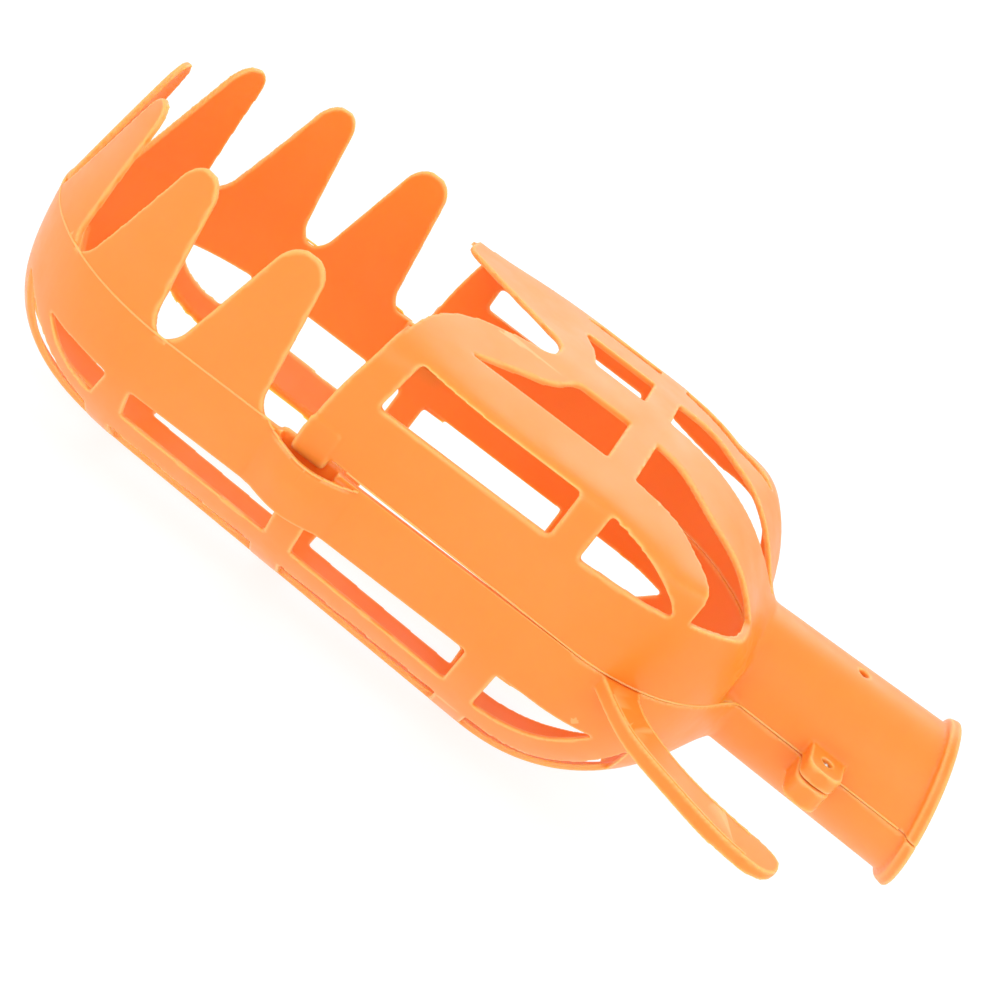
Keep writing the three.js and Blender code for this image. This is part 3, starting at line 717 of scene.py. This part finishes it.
def belly_windows():
    cutters = [cross_prism(outline, -FAR_AWAY, 0) for outline in BELLY_SIDE_WINDOWS]
    cutters += [cross_prism(outline, 0, FAR_AWAY, BELLY_FAR_LIFT) for outline in BELLY_SIDE_WINDOWS]
    middle = [
        [(front, inner), (rear, inner), (rear, outer), (front, outer)]
        for front, rear in BELLY_COLUMNS
        for inner, outer in BELLY_ROWS
    ]
    for outline in [*middle, *BELLY_FRONT_WINDOWS]:
        cutters.append(upright_prism(outline, -FAR_AWAY, BELLY_WINDOW_TOP))
        cutters.append(upright_prism(mirrored(outline), -FAR_AWAY, BELLY_WINDOW_TOP))
    return cutters


def hinge_notch():
    front, rear, bottom, top = NOTCH
    outline = [(front, bottom), (rear, bottom), (rear, top, 0), (front, top, 0)]
    return cross_prism(outline, -HALF_WIDTH - 1, HALF_WIDTH + 1)


def back_plate(side):
    """A plate inside the wall that closes the notch behind the tongue."""
    front, rear, bottom, top = BACK_PLATE
    outline = [(front, bottom), (rear, bottom), (rear, top), (front, top)]
    return side_plate(outline, side, *BACK_PLATE_FACES)


def lower_basket():
    along = stations(NOSE_START, FLANGE_START)
    outer = [belly_ring(x, 0) for x in [*nose_stations(0), *along]]
    outer += [belly_ring(x, 0, flange_rise(x)) for x in FLANGE_STATIONS]
    inner = [belly_ring(x, WALL, top=1) for x in [*nose_stations(WALL), *along, BEYOND_MOUTH]]
    piece = closed_skin("lower_basket_shell", outer)
    combine(piece, [hook(), *(lug(side, *LOWER_LUG) for side in (-1, 1))], "UNION")
    combine(piece, [closed_skin("cutter", inner), *belly_windows(), hinge_notch()], "DIFFERENCE")
    hinge_parts = [part(side) for part in (pocket, back_plate) for side in (-1, 1)]
    combine(piece, [*(tooth(centre) for centre in TOOTH_CENTRES), *hinge_parts], "UNION")
    bottom = LOWER_LUG[0] - 1
    radius, top = COUNTERBORE
    holes = [hole(SCREW_X, side * SCREW_Y, SCREW_HOLE, bottom, 1) for side in (-1, 1)]
    holes += [hole(SCREW_X, side * SCREW_Y, radius, bottom, top) for side in (-1, 1)]
    combine(piece, holes, "DIFFERENCE")
    finish_moulding(piece, lower_beads(), "lower_basket_moulding", "basket")
    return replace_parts(piece, "lower_basket")


# ---------------------------------------------------------------- upper cage


def cage_windows():
    cutters = [cross_prism(outline, -FAR_AWAY, 0) for outline in CAGE_NEAR_WINDOWS]
    cutters += [cross_prism(outline, 0, FAR_AWAY) for outline in CAGE_FAR_WINDOWS]
    roof = [ROOF_NEAR_WINDOW, ROOF_FAR_WINDOW, ROOF_REAR_FAR_WINDOW]
    cutters += [upright_prism(outline, ROOF_WINDOW_BOTTOM, FAR_AWAY) for outline in roof]
    cutters.append(upright_prism(ROOF_REAR_NEAR_WINDOW, ROOF_CORNER_BOTTOM, FAR_AWAY))
    cutters += [upright_prism(outline, ROOF_SLOT_BOTTOM, FAR_AWAY) for outline in ROOF_FAR_SLOTS]
    return cutters


def hoop_front():
    """The hoop's walls lean back as they rise, and its roof opens in a V between two lobes."""
    return [
        upright_prism(ROOF_FRONT_EDGE, ROOF_EDGE_BOTTOM, FAR_AWAY),
        cross_prism(WALL_FRONT_EDGE, -FAR_AWAY, HOOP_WALLS[0]),
        cross_prism(WALL_FRONT_EDGE, HOOP_WALLS[1], FAR_AWAY),
    ]


def tongue(side):
    front, rear, bottom, top = TONGUE
    outline = [(front, bottom), (rear, bottom), (rear, top, 0), (front, top, 0)]
    inner = HALF_WIDTH - WALL + TONGUE_CLEARANCE
    return side_plate(outline, side, inner, HALF_WIDTH - TONGUE_CLEARANCE)


def foot_pad(side):
    """A thin raised pad on the outside of each of the hoop's feet."""
    front, rear, bottom, top = FOOT_PAD
    outline = [(front, bottom, 1), (rear, bottom, 1), (rear, top, 1), (front, top, 1)]
    return side_plate(outline, side, HALF_WIDTH - PAD_ROOT, HALF_WIDTH + PAD_HEIGHT)


def upper_cage():
    along = stations(CAGE_FRONT, FLANGE_START)
    outer = [cage_ring(x, 0) for x in along]
    outer += [cage_ring(x, 0, flange_rise(x)) for x in FLANGE_STATIONS]
    inner = [cage_ring(x, WALL, bottom=-1) for x in [CAGE_FRONT - 1, *along, BEYOND_MOUTH]]
    piece = closed_skin("upper_cage_shell", outer)
    combine(piece, [lug(side, PARTING_GAP, UPPER_LUG_TOP) for side in (-1, 1)], "UNION")
    combine(piece, [closed_skin("cutter", inner), *cage_windows(), *hoop_front()], "DIFFERENCE")
    combine(piece, [tongue(-1), tongue(1), foot_pad(-1), foot_pad(1)], "UNION")
    holes = [hole(SCREW_X, side * SCREW_Y, SCREW_HOLE, -1, UPPER_LUG_TOP + 1) for side in (-1, 1)]
    x, radius = POLE_SCREW
    combine(piece, [*holes, hole(x, 0, radius, 0, FAR_AWAY)], "DIFFERENCE")
    finish_moulding(piece, cage_beads(), "upper_cage_moulding", "cage")
    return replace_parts(piece, "upper_cage")


# ---------------------------------------------------------------- clamp screws


def thread_radius(z, turn):
    """The shank's radius: a helical ridge above the head, fading into a blunt point."""
    point_start, point_end, point_radius = SCREW_TIP
    phase = (z / THREAD_PITCH - turn / (2 * math.pi)) % 1
    ridge = THREAD_DEPTH * max(1 - THREAD_SHARPNESS * abs(phase - 0.5), 0)
    ridge *= smooth_step(z, *THREAD_FADE)
    share = smooth_step(z, point_start, point_end)
    return mix(SCREW_SHANK + ridge, point_radius, share)


def screw_ring(x, y, z, radius_at):
    """A ring of the screw, whose radius is a function of the turn round its axis."""
    return [
        (x + radius_at(turn) * math.cos(turn), y + radius_at(turn) * math.sin(turn), z)
        for turn in full_turn(SCREW_SIDES)
    ]


def recess(x, y):
    """The cross cut in the head, narrower at the bottom."""
    bottom = SCREW_HEAD[0]
    sizes = [(RECESS_HALF_LENGTH, RECESS_HALF_WIDTH), (RECESS_HALF_WIDTH, RECESS_HALF_LENGTH)]
    levels = [(bottom - CUT_CLEARANCE, 1.0), (bottom + RECESS_DEPTH, RECESS_TAPER)]
    signs = [(-1, -1), (1, -1), (1, 1), (-1, 1)]
    cutters = []
    for long, wide in sizes:
        rings = [
            [(x + sx * long * size, y + sy * wide * size, z) for sx, sy in signs]
            for z, size in levels
        ]
        cutters.append(closed_skin("cutter", rings))
    return cutters


def clamp_screw(name, side):
    """A pan-head thread-forming screw, which comes up through the lower lug into the upper one."""
    x, y = SCREW_X, side * SCREW_Y
    bottom, seat, head = SCREW_HEAD
    rings = []
    for i in range(SCREW_HEAD_RINGS + 1):
        share = i / SCREW_HEAD_RINGS
        radius = head * mix(HEAD_CROWN, 1, math.sin(share * math.pi / 2))
        rings.append(screw_ring(x, y, mix(bottom, seat - HEAD_EDGE, share), lambda turn: radius))
    rings.append(screw_ring(x, y, seat, lambda turn: head * HEAD_SEAT))
    count = round((SCREW_TIP[1] - seat) / SCREW_STEP)
    for i in range(count + 1):
        z = mix(seat + SHANK_START, SCREW_TIP[1], i / count)
        rings.append(screw_ring(x, y, z, lambda turn: thread_radius(z, turn)))
    piece = closed_skin(name + "_turned", rings)
    combine(piece, recess(x, y), "DIFFERENCE")
    edges = piece.modifiers.new("edges", "BEVEL")
    edges.width = SCREW_BEVEL * MM
    edges.segments = 2
    edges.limit_method = "ANGLE"
    edges.angle_limit = SCREW_BEVEL_ANGLE
    bake(piece)
    piece.data.shade_smooth()
    piece.data.set_sharp_from_angle(angle=SCREW_CREASE)
    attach(piece, name.replace("clamp_", ""))
    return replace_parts(piece, name)


# ---------------------------------------------------------------- assembly

mouldings = [lower_basket(), upper_cage()]
screws = [clamp_screw("clamp_screw_near", -1), clamp_screw("clamp_screw_far", 1)]

# ---------------------------------------------------------------- materials

DEEP_ORANGE = (0.95, 0.27, 0.022, 1)
LIGHT_ORANGE = (0.97, 0.3, 0.045, 1)
# The paler orange painted on sharp edges: a painted highlight for the light that rounded edges catch
# and glow with
EDGE_HIGHLIGHT_ORANGE = (1.0, 0.47, 0.16, 1)
DARK_ZINC = (0.5, 0.49, 0.46, 1)
BRIGHT_ZINC = (0.72, 0.72, 0.7, 1)

# The Mix node's sockets for two colours and their mixture
MIX_FIRST = 6
MIX_SECOND = 7
MIX_RESULT = 2


def new_material(name):
    """A material, its Principled shader, a way to add nodes to it and a way to link them."""
    material = bpy.data.materials.new(name)
    material.use_nodes = True
    tree = material.node_tree
    shader = tree.nodes["Principled BSDF"]

    def add(kind, **values):
        node = tree.nodes.new("ShaderNode" + kind)
        for key, value in values.items():
            if key in node.inputs:
                node.inputs[key].default_value = value
            else:
                setattr(node, key, value)
        return node

    return material, shader, add, tree.links.new


def ramp(add, link, source, stops):
    """A colour ramp over a value, between two (position, colour) stops."""
    node = add("ValToRGB")
    for element, (position, colour) in zip(node.color_ramp.elements, stops):
        element.position = position
        element.color = colour
    link(source, node.inputs["Fac"])
    return node.outputs["Color"]


def grey(value):
    return (value, value, value, 1)


def orange_plastic():
    """Translucent moulded plastic: cloudy colour, sharp edges painted paler as a painted highlight, and
    a faint mould texture.
    """
    material, shader, add, link = new_material("orange_plastic")
    place = add("TexCoord").outputs["Object"]

    cloud = add("TexNoise", Scale=14.0, Detail=4.0, Roughness=0.55)
    link(place, cloud.inputs["Vector"])
    body = ramp(add, link, cloud.outputs["Fac"], [(0.3, DEEP_ORANGE), (0.7, LIGHT_ORANGE)])
    # Painted highlight: pointed edges are mixed towards a paler orange, standing in for light caught on
    # and glowing through them
    sharpness = add("NewGeometry").outputs["Pointiness"]
    painted_edge_highlight = ramp(add, link, sharpness, [(0.506, grey(0)), (0.535, grey(0.8))])
    highlighted_body = add("Mix", data_type="RGBA")
    link(painted_edge_highlight, highlighted_body.inputs["Factor"])
    link(body, highlighted_body.inputs[MIX_FIRST])
    highlighted_body.inputs[MIX_SECOND].default_value = EDGE_HIGHLIGHT_ORANGE
    link(highlighted_body.outputs[MIX_RESULT], shader.inputs["Base Color"])

    flow = add("TexNoise", Scale=60.0, Detail=3.0, Roughness=0.6)
    link(place, flow.inputs["Vector"])
    dull = ramp(add, link, flow.outputs["Fac"], [(0.35, grey(0.33)), (0.65, grey(0.46))])
    link(dull, shader.inputs["Roughness"])

    grain = add("TexNoise", Scale=900.0, Detail=2.0, Roughness=0.5)
    link(place, grain.inputs["Vector"])
    fine = add("Bump", Strength=0.12, Distance=0.0001)
    link(grain.outputs["Fac"], fine.inputs["Height"])
    waves = add("TexNoise", Scale=38.0, Detail=1.0, Roughness=0.4)
    link(place, waves.inputs["Vector"])
    sink = add("Bump", Strength=0.1, Distance=0.0015)
    link(waves.outputs["Fac"], sink.inputs["Height"])
    link(fine.outputs["Normal"], sink.inputs["Normal"])
    link(sink.outputs["Normal"], shader.inputs["Normal"])

    shader.inputs["IOR"].default_value = 1.49
    shader.inputs["Subsurface Weight"].default_value = 0.7
    shader.inputs["Subsurface Radius"].default_value = (1.0, 0.62, 0.12)
    shader.inputs["Subsurface Scale"].default_value = 0.006
    return material


def screw_steel():
    """Zinc-plated steel, turned: fine rings round the axis, and a little dulling."""
    material, shader, add, link = new_material("screw_steel")
    place = add("TexCoord").outputs["Object"]

    patches = add("TexNoise", Scale=420.0, Detail=4.0, Roughness=0.6)
    link(place, patches.inputs["Vector"])
    tint = ramp(add, link, patches.outputs["Fac"], [(0.3, DARK_ZINC), (0.7, BRIGHT_ZINC)])
    link(tint, shader.inputs["Base Color"])
    dull = ramp(add, link, patches.outputs["Fac"], [(0.3, grey(0.24)), (0.7, grey(0.42))])
    link(dull, shader.inputs["Roughness"])

    turned = add("Mapping")
    turned.inputs["Scale"].default_value = (300, 300, 9000)
    link(place, turned.inputs["Vector"])
    lines = add("TexNoise", Scale=1.0, Detail=2.0)
    link(turned.outputs["Vector"], lines.inputs["Vector"])
    bump = add("Bump", Strength=0.15, Distance=0.00005)
    link(lines.outputs["Fac"], bump.inputs["Height"])
    link(bump.outputs["Normal"], shader.inputs["Normal"])
    shader.inputs["Metallic"].default_value = 1.0
    return material


def put_on(pieces, material):
    """Gives each piece one material and no other."""
    for piece in pieces:
        piece.data.materials.clear()
        piece.data.materials.append(material)


put_on(mouldings, orange_plastic())
put_on(screws, screw_steel())

# ---------------------------------------------------------------- camera, light and floor

CAMERA_PLACE = (-0.16111, -0.51904, 0.24728)
CAMERA_FALL = 25.896
CAMERA_TURN = 0.05
CAMERA_ROLL = 37.334
CAMERA_LENS = 66.6
CAMERA_SENSOR = 36

HEAD_MIDDLE = (-0.16, 0.0, 0.0)
LIGHT_SIZE = 0.8
LIGHTS = [
    ("key", (-0.5, -0.6, 0.9), 2.5),
    ("fill", (0.5, -0.7, 0.5), 1.5),
    ("back", (-0.1, 0.9, 0.6), 2.5),
]
FLOOR_HALF = 12.0
FLOOR_GREY = 0.2
FLOOR_ROUGHNESS = 0.9
FLOOR_GLOW = 0.85
ROOM_GLOW = 0.95


def add_camera():
    data = bpy.data.cameras.new("camera")
    data.lens = CAMERA_LENS
    data.sensor_width = CAMERA_SENSOR
    camera = bpy.data.objects.new("camera", data)
    turn = Matrix.Rotation(math.radians(CAMERA_TURN), 4, "Z")
    tilt = Matrix.Rotation(math.radians(90 - CAMERA_FALL), 4, "X")
    roll = Matrix.Rotation(math.radians(CAMERA_ROLL), 4, "Z")
    camera.matrix_world = Matrix.Translation(CAMERA_PLACE) @ turn @ tilt @ roll
    bpy.context.scene.collection.objects.link(camera)
    bpy.context.scene.camera = camera


def add_light(name, place, power):
    """A soft round light that faces the middle of the head."""
    data = bpy.data.lights.new(name, "AREA")
    data.shape = "DISK"
    data.size = LIGHT_SIZE
    data.energy = power
    light = bpy.data.objects.new(name, data)
    light.location = place
    light.rotation_mode = "QUATERNION"
    light.rotation_quaternion = (Vector(place) - Vector(HEAD_MIDDLE)).to_track_quat("Z", "Y")
    bpy.context.scene.collection.objects.link(light)


def add_floor():
    """A plain white floor under the belly, with a glow of its own that keeps shadows faint."""
    lowest = CAD_BOX[0].z
    mesh = bpy.data.meshes.new("floor")
    signs = [(-1, -1), (1, -1), (1, 1), (-1, 1)]
    corners = [(sx * FLOOR_HALF, sy * FLOOR_HALF, lowest) for sx, sy in signs]
    mesh.from_pydata(corners, [], [range(len(corners))])
    floor = bpy.data.objects.new("floor", mesh)
    bpy.context.scene.collection.objects.link(floor)
    material, shader, *_ = new_material("floor")
    shader.inputs["Base Color"].default_value = grey(FLOOR_GREY)
    shader.inputs["Roughness"].default_value = FLOOR_ROUGHNESS
    shader.inputs["Emission Color"].default_value = grey(1)
    shader.inputs["Emission Strength"].default_value = FLOOR_GLOW
    floor.data.materials.append(material)


def light_room():
    """An even white light from all sides."""
    world = bpy.data.worlds.new("studio")
    world.use_nodes = True
    background = world.node_tree.nodes["Background"]
    background.inputs["Color"].default_value = grey(1)
    background.inputs["Strength"].default_value = ROOM_GLOW
    bpy.context.scene.world = world


add_camera()
add_floor()
for light_name, light_place, light_power in LIGHTS:
    add_light(light_name, light_place, light_power)
light_room()
bpy.context.scene.view_settings.view_transform = "Standard"
